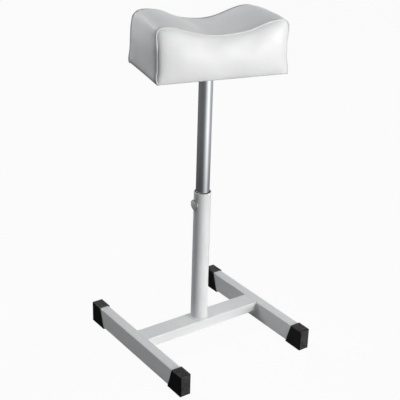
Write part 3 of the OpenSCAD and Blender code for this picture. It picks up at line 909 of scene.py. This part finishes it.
def swept(name, path, radii, sides, slot):
    """A closed tube along a path, with its own radius at each point."""
    bm = bmesh.new()
    ends = [path[0], *path, path[-1]]
    rings = []
    for before, point, after, radius in zip(ends, path, ends[2:], radii):
        along = (after - before).normalized()
        first = (Vector((0, 1, 0)) - along * along.y).normalized()
        second = along.cross(first)
        turns = [2 * math.pi * k / sides for k in range(sides)]
        rings.append([bm.verts.new(point + radius * (math.cos(a) * first + math.sin(a) * second))
                      for a in turns])
    quads(bm, [[*ring, ring[0]] for ring in rings])
    for ring in (rings[0], rings[-1]):
        bm.faces.new(ring)
    return piece_of(name, bm, slot)


def piping_path(side, side_insets):
    """The piping's middle line: up the sides and over the saddle, and tucked under at both ends."""
    count = round(SEAM_LEN / PIPING_STEP)
    line = at_shares(SEAM, [i / count for i in range(count + 1)])
    middle = []
    for p, normal in zip(line, normals_of(line)):
        sunk = PIPING_TOP_INSET + (side_insets[p.x > 0] - PIPING_TOP_INSET) * flank(p.y)
        inner = p - sunk * normal
        if inner.y > FOOT_ROLL:
            middle.append(hand_sewn(Vector((inner.x, side * (seam_y(p.y) - sunk), inner.y))))
    for end in (0, -1):
        start = middle[end]
        inward = Vector((-math.copysign(1, start.x), -side, 0)).normalized()
        turns = [PIPING_TUCK_TURN * i / PIPING_TUCK_STEPS for i in range(1, PIPING_TUCK_STEPS + 1)]
        up = Vector((0, 0, 1))
        tuck = [start + FOOT_ROLL * ((1 - math.cos(t)) * inward - math.sin(t) * up) for t in turns]
        middle = tuck[::-1] + middle if end == 0 else middle + tuck
    return middle


def make_piping(name, node_name, side, side_insets):
    """Piping of one seam, pinched a little at every stitch."""
    path = piping_path(side, side_insets)
    radii = [PIPING_R * (1 + PIPING_STITCH_SHARE * math.cos(2 * math.pi * i * PIPING_STEP / PIPING_STITCH))
             for i in range(len(path))]
    piece = swept(name, path, radii, PIPING_SIDES, "leatherette")
    piece.modifiers.new("smoother", "SUBSURF").levels = 1
    in_place(piece.data)
    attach(piece, "rest_post")
    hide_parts(node_name)


def make_under_cloth():
    """Thin cloth under the board: doubled at its rim, over the hems, and against the board between them."""
    w, d = REST_W - 2 * CLOTH_INSET, REST_D - 2 * CLOTH_INSET
    xs, ys = [[size * (i / round(size / CLOTH_STEP) - 0.5) for i in range(round(size / CLOTH_STEP) + 1)]
              for size in (w, d)]
    bm = bmesh.new()
    upper, lower = [], []
    for y in ys:
        upper_row, lower_row = [], []
        for x in xs:
            rim = min(w / 2 - abs(x), d / 2 - abs(y))
            inside = min(1, max(0, (rim + CLOTH_INSET - HEM_W) / CLOTH_STEP_W))
            top = -CLOTH_GAP + COVER_T * inside * inside * (3 - 2 * inside)
            slack = 0.5 + 0.5 * noise.noise(Vector((x, y, 0)) / CLOTH_SLACK_SIZE)
            ply = CLOTH_T if rim > CLOTH_RIM_W else 2 * CLOTH_T
            low = top - ply - CLOTH_SLACK_SHARE * CLOTH_T * slack * (1 - inside)
            upper_row.append(bm.verts.new((x, y, top)))
            lower_row.append(bm.verts.new((x, y, low)))
        upper.append(upper_row)
        lower.append(lower_row)
    quads(bm, upper)
    quads(bm, lower)
    for edge in ([upper[0], lower[0]], [upper[-1], lower[-1]],
                 [[row[0] for row in upper], [row[0] for row in lower]],
                 [[row[-1] for row in upper], [row[-1] for row in lower]]):
        quads(bm, edge)
    piece = piece_of("under_board_cloth", bm, "under_cloth")
    in_place(piece.data)
    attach(piece, "rest_post")
    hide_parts("bottom_cloth")


def bead_mesh(bm, corners, walls_a, walls_b, leg, closed):
    """Adds one weld bead along a line of inside corners, with the ripples that the torch leaves."""
    rings = []
    last = len(corners) - 1
    for i, (corner, a, b) in enumerate(zip(corners, walls_a, walls_b)):
        phase = i * BEAD_STEP / BEAD_PITCH % 1
        waver = BEAD_WAVER_SHARE * noise.noise(corner / BEAD_WAVER_SIZE)
        swell = 1 + BEAD_RIPPLE_SHARE * (1 - phase * phase) + waver
        from_end = min(i, last - i) * BEAD_STEP / (leg / 2)
        end = 1 if closed else min(1, BEAD_END_SHARE + (1 - BEAD_END_SHARE) * from_end)
        radius = leg * BEAD_SHARE * swell * end
        turns = [math.pi / 2 * k / (BEAD_SIDES - 1) for k in range(BEAD_SIDES)]
        ring = [bm.verts.new(corner - BEAD_ROOT_SHARE * leg * (a + b))]
        ring += [bm.verts.new(corner + radius * (math.cos(t) * a + math.sin(t) * b)) for t in turns]
        rings.append([*ring, ring[0]])
    if closed:
        rings.append(rings[0])
    quads(bm, rings)
    if not closed:
        for ring in (rings[0], rings[-1]):
            bm.faces.new(ring[:-1])


def straight_bead(bm, start, end, a, b, leg):
    """A bead from start to end between two walls."""
    count = round((end - start).length / BEAD_STEP)
    corners = [start.lerp(end, i / count) for i in range(count + 1)]
    bead_mesh(bm, corners, [a] * len(corners), [b] * len(corners), leg, False)


def round_bead(name, node_name, tube, up, slot, body):
    """A bead round one of the posts, against the face below it, or above it where up is -1."""
    low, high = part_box(node_name)
    # On the inner post this is the radius of the bead rolled into its foot, 0.8 mm more than its tube's
    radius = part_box(tube)[1].x
    bm = bmesh.new()
    count = round(2 * math.pi * radius / BEAD_PITCH) * round(BEAD_PITCH / BEAD_STEP)
    angles = [2 * math.pi * i / count for i in range(count)]
    outs = [Vector((math.cos(t), math.sin(t), 0)) for t in angles]
    corners = [out * radius + Vector((0, 0, low.z if up > 0 else high.z)) for out in outs]
    bead_mesh(bm, corners, outs, [Vector((0, 0, up))] * count, high.z - low.z, True)
    piece = piece_of(name, bm, slot)
    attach(piece, body)
    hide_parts(node_name)


def ground_bead(bm, x, side, low, high):
    """The bead on top of the bar's end, ground nearly flush, which fills the groove at the rail's corner."""
    middle = x + side * TUBE_CORNER / 2
    start, end = low.y + TUBE_CORNER / 2, high.y - TUBE_CORNER / 2
    rings = []
    for i in range(GROUND_STEPS + 1):
        place = GROUND_END_SHARE + (1 - 2 * GROUND_END_SHARE) * i / GROUND_STEPS
        share = math.sin(math.pi * place) ** GROUND_END_POWER
        waver = noise.noise(Vector((side * GROUND_WAVER_APART, i * GROUND_WAVER_STEP, 0)))
        width = GROUND_W * share * (1 + GROUND_WAVER_SHARE * waver)
        y = start + (end - start) * i / GROUND_STEPS
        turns = [math.pi * k / BEAD_SIDES for k in range(BEAD_SIDES + 1)]
        ring = [bm.verts.new((middle + width * math.cos(t), y, high.z + GROUND_H * share * math.sin(t)))
                for t in turns]
        ring.append(bm.verts.new((middle, y, high.z - TUBE_CORNER)))
        rings.append([*ring, ring[0]])
    quads(bm, rings)
    for ring in (rings[0], rings[-1]):
        bm.faces.new(ring[:-1])


def make_bar_beads():
    """The beads between cross bar and rails: up both sides, along the underside, and ground on top."""
    low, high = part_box("cross_bar")
    leg = low.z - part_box("bar_welds")[0].z
    bm = bmesh.new()
    for side in (-1, 1):
        x = high.x * side
        inward = Vector((-side, 0, 0))
        for y in (low.y, high.y):
            out = Vector((0, math.copysign(1, y), 0))
            straight_bead(bm, Vector((x, y, low.z + TUBE_CORNER)), Vector((x, y, high.z - TUBE_CORNER)),
                          inward, out, leg)
        straight_bead(bm, Vector((x, low.y + TUBE_CORNER, low.z)), Vector((x, high.y - TUBE_CORNER, low.z)),
                      inward, Vector((0, 0, -1)), leg)
        ground_bead(bm, x, side, low, high)
    piece = piece_of("bar_weld_beads", bm, "frame_paint")
    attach(piece, "base")
    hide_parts("bar_welds")


def turned(name, slot, profile, place, radius_at=lambda radius, angle: radius):
    """A piece turned from (radius, height) points that start and end on its axis, or at one point."""
    bm = bmesh.new()
    angles = [2 * math.pi * k / TURNED_SIDES for k in range(TURNED_SIDES)]
    rings = []
    for radius, height in profile:
        radii = [radius_at(radius, angle) for angle in angles]
        ring = [bm.verts.new((r * math.cos(t), r * math.sin(t), height)) for r, t in zip(radii, angles)]
        rings.append([*ring, ring[0]])
    quads(bm, rings)
    bmesh.ops.remove_doubles(bm, verts=bm.verts, dist=TURNED_MERGE)
    piece = piece_of(name, bm, slot)
    piece.data.transform(place)
    piece.data.set_sharp_from_angle(angle=TURNED_SHARP_ANGLE)
    return piece


def rounded(corner, radius, start, end):
    """Profile points of a rounded corner, by the middle of its rounding."""
    turns = [start + (end - start) * k / ROUND_STEPS for k in range(ROUND_STEPS + 1)]
    return [(corner[0] + radius * math.cos(t), corner[1] + radius * math.sin(t)) for t in turns]


def make_bush():
    """The bush in the outer post's mouth: a sloped lead-in, and a thin collar on the tube's cut end."""
    low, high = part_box("post_bush")
    # This takes the radius of the bead rolled into the post's foot, 0.8 mm more than its tube's
    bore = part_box("inner_post")[1].x + BUSH_GAP
    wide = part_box("outer_post")[1].x - COLLAR_IN
    edge = COLLAR_T / 2
    profile = [(bore, low.z), (high.x, low.z), (high.x, high.z), (wide, high.z)]
    profile += rounded((wide - edge, high.z + edge), edge, 0, math.pi / 2)
    profile += [(high.x, high.z + COLLAR_T), (bore, high.z - BUSH_LEAD), (bore, low.z)]
    piece = turned("bush_with_collar", "black_plastic", profile, Matrix())
    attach(piece, "base")
    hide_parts("post_bush")


def make_knob():
    """The clamp knob: a domed, fluted head on a hub that is hollow for the boss and the stud's head."""
    low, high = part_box("clamp_knob")
    boss_low, boss_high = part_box("clamp_boss")
    head_low, head_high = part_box("clamp_stud")
    middle, outer, length = (low.z + high.z) / 2, (high.z - low.z) / 2, high.x - low.x
    rim = length - KNOB_DOME
    pocket, pocket_r = high.x - head_low.x, max(head_high.y, head_high.z - middle)
    recess, recess_r = high.x - boss_low.x + KNOB_GAP, boss_high.z - middle + KNOB_GAP
    profile = [(0, pocket), (pocket_r, pocket), (pocket_r, recess), (recess_r, recess), (recess_r, 0)]
    hub_r = recess_r + KNOB_HUB_WALL
    profile += [(hub_r, 0), (hub_r, KNOB_HUB)]
    profile += rounded((outer - KNOB_EDGE, KNOB_HUB + KNOB_FLARE + KNOB_EDGE), KNOB_EDGE, -math.pi / 2, 0)
    shares = [math.cos(math.pi / 2 * k / KNOB_RINGS) for k in range(KNOB_RINGS + 1)]
    dome = KNOB_DOME - KNOB_CAP_PROUD
    profile += [(outer * share, rim + dome * (1 - share ** KNOB_DOME_POWER)) for share in shares]
    cap = [(outer * share * KNOB_CAP_SHARE,
            rim + KNOB_CAP_PROUD + dome * (1 - (share * KNOB_CAP_SHARE) ** KNOB_DOME_POWER))
           for share in shares]
    foot = cap[0][1] - KNOB_CAP_T
    cap = [(0, foot), (cap[0][0], foot), *cap]

    def fluted(radius, angle):
        turn = 2 * math.pi / KNOB_FLUTES
        away = abs((angle + turn / 2) % turn - turn / 2) * outer
        near_rim = max(0, (radius - hub_r) / (outer - hub_r))
        return radius - KNOB_FLUTE_DEPTH * near_rim * bell(away, KNOB_FLUTE_REACH)

    place = Matrix.Translation((high.x, 0, middle)) @ Matrix.Rotation(-math.pi / 2, 4, "Y")
    piece = turned("domed_knob", "knob_plastic", profile, place, fluted)
    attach(piece, "clamp_screw")
    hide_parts("clamp_knob")
    face = turned("knob_face_cap", "knob_plastic", cap, place)
    face.data.materials[0] = MATERIALS["knob_face"]
    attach(face, "clamp_screw")


def make_camera():
    """The photograph's viewpoint."""
    flat = math.cos(CAMERA_ELEVATION)
    back = Vector((math.sin(CAMERA_AZIMUTH) * flat, -math.cos(CAMERA_AZIMUTH) * flat,
                   math.sin(CAMERA_ELEVATION)))
    level = Vector((math.cos(CAMERA_AZIMUTH), math.sin(CAMERA_AZIMUTH), 0))
    up = back.cross(level)
    right = level * math.cos(CAMERA_ROLL) + up * math.sin(CAMERA_ROLL)
    up = back.cross(right)
    data = bpy.data.cameras.new("camera")
    data.lens = CAMERA_LENS_MM
    data.sensor_width = CAMERA_SENSOR_MM
    data.shift_x, data.shift_y = CAMERA_SHIFT
    camera = bpy.data.objects.new("camera", data)
    camera.matrix_world = Matrix.Translation(CAMERA_AIM + back * CAMERA_DISTANCE) @ Matrix(
        (right, up, back)).transposed().to_4x4()
    bpy.context.scene.collection.objects.link(camera)
    bpy.context.scene.camera = camera


def lamp(name, place, aim, size, power, colour=WARM_WHITE, spread=math.pi):
    """A soft square lamp; a grid on it narrows its spread."""
    data = bpy.data.lights.new(name, "AREA")
    data.shape = "SQUARE"
    data.size = size
    data.energy = power
    data.color = colour
    data.spread = spread
    made = bpy.data.objects.new(name, data)
    made.location = place
    made.rotation_euler = (Vector(aim) - Vector(place)).to_track_quat("-Z", "Y").to_euler()
    made.visible_camera = False
    bpy.context.scene.collection.objects.link(made)


def seen_or_mirrored(tree):
    """1 for rays that come from the camera, a mirror or glass."""
    path = node(tree, "ShaderNodeLightPath").outputs
    both = maths(tree, "MAXIMUM", path["Is Camera Ray"], path["Is Glossy Ray"])
    return maths(tree, "MAXIMUM", both, path["Is Transmission Ray"])


def emptied(owner):
    """The node tree of a new material or world, without its first nodes."""
    owner.use_nodes = True
    owner.node_tree.nodes.clear()
    return owner.node_tree


def staged(bm, material):
    """A part of the studio, named after its material."""
    mesh = bpy.data.meshes.new(material.name)
    bm.to_mesh(mesh)
    bm.free()
    mesh.materials.append(material)
    made = bpy.data.objects.new(material.name, mesh)
    bpy.context.scene.collection.objects.link(made)
    return made


def make_floor():
    """Pale floor, which shows as nearly white and keeps a share of the object's shadow."""
    size, tone, white_share = 8.0, 0.57, 0.95
    material = bpy.data.materials.new("studio_floor")
    tree = emptied(material)
    pale = node(tree, "ShaderNodeBsdfDiffuse", {"Color": (tone, tone, tone, 1.0)})
    white = node(tree, "ShaderNodeEmission", {"Color": (1.0, 1.0, 1.0, 1.0), "Strength": 1.0})
    factor = maths(tree, "MULTIPLY", seen_or_mirrored(tree), white_share)
    both = node(tree, "ShaderNodeMixShader", {0: factor, 1: pale.outputs[0], 2: white.outputs[0]})
    node(tree, "ShaderNodeOutputMaterial", {"Surface": both.outputs[0]})
    bm = bmesh.new()
    bmesh.ops.create_grid(bm, x_segments=1, y_segments=1, size=size / 2)
    staged(bm, material)


def make_surroundings():
    """White surroundings, which light the object only dimly."""
    cool, dim_strength, seen_strength = (0.96, 0.985, 1.0, 1.0), 0.09, 0.965
    world = bpy.data.worlds.new("studio")
    tree = emptied(world)
    dim = node(tree, "ShaderNodeBackground", {"Color": cool, "Strength": dim_strength})
    white = node(tree, "ShaderNodeBackground", {"Color": (1.0, 1.0, 1.0, 1.0), "Strength": seen_strength})
    seen = seen_or_mirrored(tree)
    both = node(tree, "ShaderNodeMixShader", {0: seen, 1: dim.outputs[0], 2: white.outputs[0]})
    node(tree, "ShaderNodeOutputWorld", {"Surface": both.outputs[0]})
    bpy.context.scene.world = world


def make_lamps():
    """A large soft lamp from the front right and one from high behind on the left, and two small ones.

    The edge lamp gives the left shoulder its gloss, and the base lamp lights the base from above."""
    lamp("key_lamp", (1.58, -4.50, 0.85), aim=(0, 0, 0.30), size=1.9, power=184)
    lamp("rear_lamp", (-2.40, 5.12, 6.11), aim=(0, 0, 0.45), size=2.6, power=272, colour=COOL_WHITE)
    lamp("edge_lamp", (-0.34, 3.26, 2.24), aim=(0, 0, 0.60), size=0.5, power=0.38, colour=COOL_WHITE,
         spread=math.radians(40))
    lamp("base_lamp", (0.42, -1.02, 1.05), aim=(0, -0.04, 0.0), size=0.3, power=0.18,
         spread=math.radians(28))


def make_painted_reflections():
    """A glowing card on the floor that only mirrored rays see: painted reflections that give the chrome and
    gloss a dark side and a bright streak.
    """
    card_radius, card_height, card_sides = 3.8, 0.0004, 64
    near, near_glow, far, far_glow = 0.35, 0.26, 1.25, 1.25
    # Turn round the post, in degrees from the right, and the tone of the painted reflection there
    tones = ((-180, 0.105), (-140, 0.125), (-118, 0.30), (-98, 0.70), (-78, 1.08), (-58, 1.10), (-38, 0.49),
             (0, 0.36), (55, 0.24), (95, 0.12), (130, 0.13), (180, 0.105))
    tint = (0.97, 0.985, 1.01)
    material = bpy.data.materials.new("painted_reflection_card")
    tree = emptied(material)
    place = on_piece(tree)
    turn = node(tree, "ShaderNodeTexGradient", {"Vector": place}, gradient_type="RADIAL").outputs["Fac"]
    ramp = node(tree, "ShaderNodeValToRGB", {"Fac": turn})
    stops = ramp.color_ramp.elements
    while len(stops) < len(tones):
        stops.new(0.5)
    for stop, (angle, tone) in zip(stops, tones):
        stop.position = (angle + 180) / 360
        stop.color = (*(share * tone for share in tint), 1.0)
    away = node(tree, "ShaderNodeVectorMath", {0: place}, operation="LENGTH").outputs["Value"]
    strength = ranged(tree, away, near, far, near_glow, far_glow)
    # Painted reflection: the card glows, though it is no lamp
    painted_reflection = node(tree, "ShaderNodeEmission", {"Color": ramp.outputs["Color"], "Strength": strength})
    node(tree, "ShaderNodeOutputMaterial", {"Surface": painted_reflection.outputs[0]})
    bm = bmesh.new()
    bmesh.ops.create_circle(bm, cap_ends=True, segments=card_sides, radius=card_radius)
    card = staged(bm, material)
    card.location.z = card_height
    card.visible_camera = card.visible_diffuse = card.visible_transmission = card.visible_shadow = False


make_camera()
make_floor()
make_surroundings()
make_lamps()
make_painted_reflections()
bpy.context.scene.view_settings.view_transform = "Standard"
dress_frame()
for corner in ("front_left", "rear_left", "front_right", "rear_right"):
    round_cap("foot_cap_" + corner)
make_cushion()
make_piping("front_piping", "piping_front", -1, FRONT_SIDE_INSETS)
make_piping("rear_piping", "piping_rear", 1, REAR_SIDE_INSETS)
make_under_cloth()
make_bush()
make_knob()
make_bar_beads()
round_bead("post_weld_bead", "post_weld", "outer_post", 1, "frame_paint", "base")
round_bead("plate_weld_bead", "plate_weld", "inner_post", -1, "plate_paint", "rest_post")
